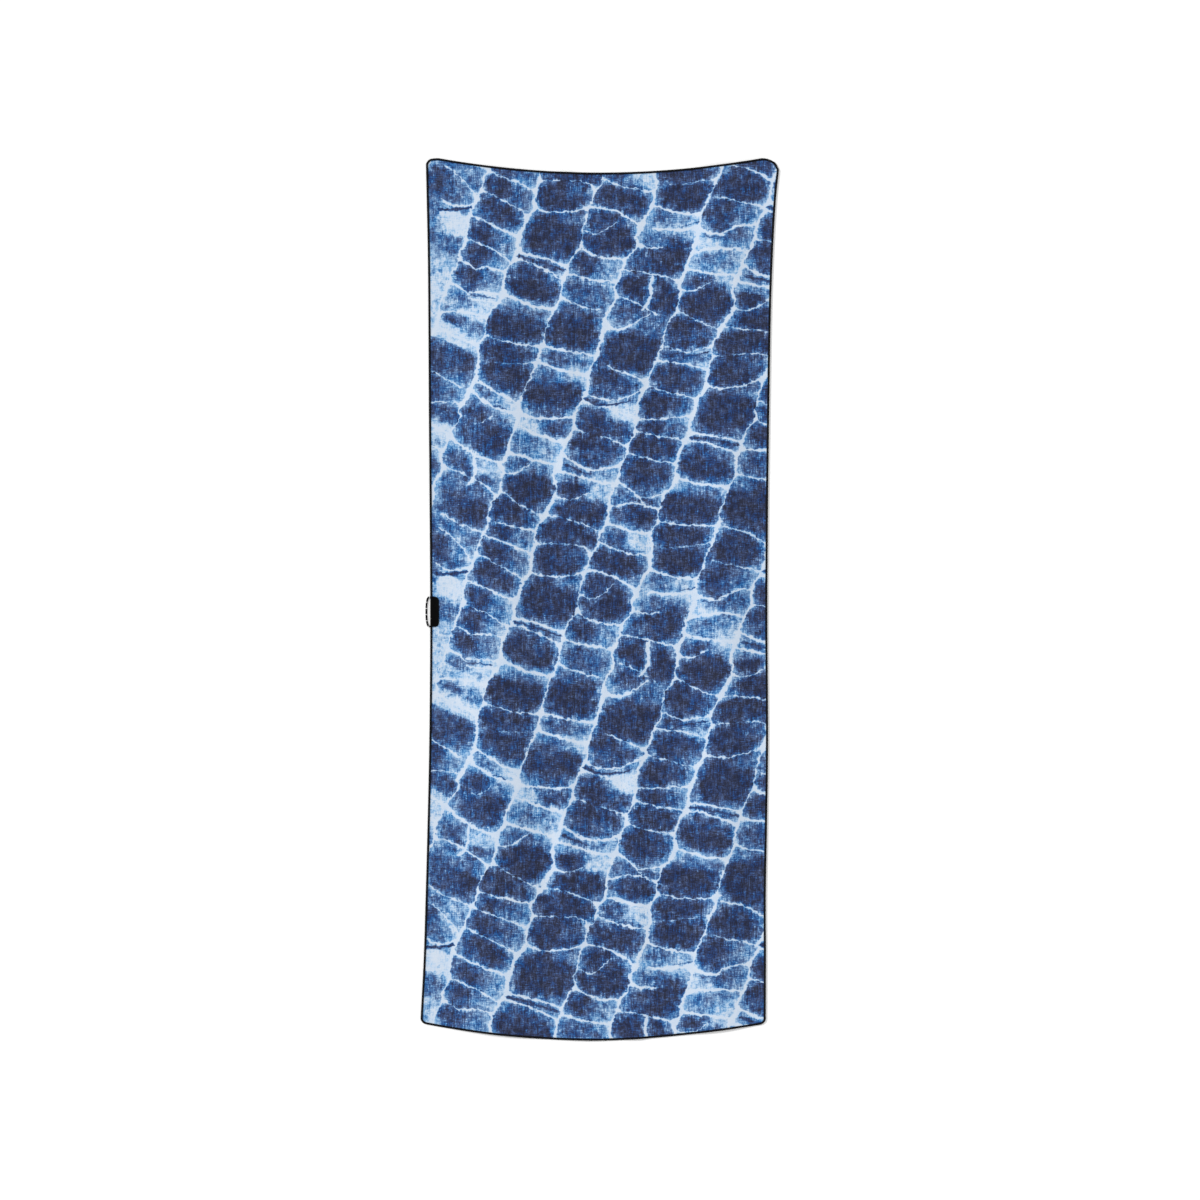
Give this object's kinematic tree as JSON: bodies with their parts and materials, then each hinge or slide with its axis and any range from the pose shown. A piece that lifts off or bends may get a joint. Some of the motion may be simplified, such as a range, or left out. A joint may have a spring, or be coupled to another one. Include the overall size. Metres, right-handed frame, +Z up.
{
  "type": "travel towel",
  "caption": "Long rectangular travel towel lying face up in soft lengthwise swells, with a bound edge, a bare side patch and a small hang loop.",
  "frame": {"origin": "on the surface that the towel lies on, under the middle of its outline", "axes": "+X to the right edge, +Y along the length towards the end that sags between its corners, +Z up from the printed face"},
  "size_m": [0.7594, 1.8702, 0.0106],
  "materials": {
    "towelling": "matt brushed towelling printed in tie-dye indigo, dark cells between pale cracks",
    "edging": "near-black overlocked thread, matt",
    "patch": "black moulded soft patch, bare face, low sheen",
    "loop_cord": "black braided cord with pale flecks"
  },
  "bodies": {
    "root": {"towel_cloth": "towelling", "edge_binding": "edging", "side_patch": "patch", "hang_loop": "loop_cord"}
  },
  "joints": []
}
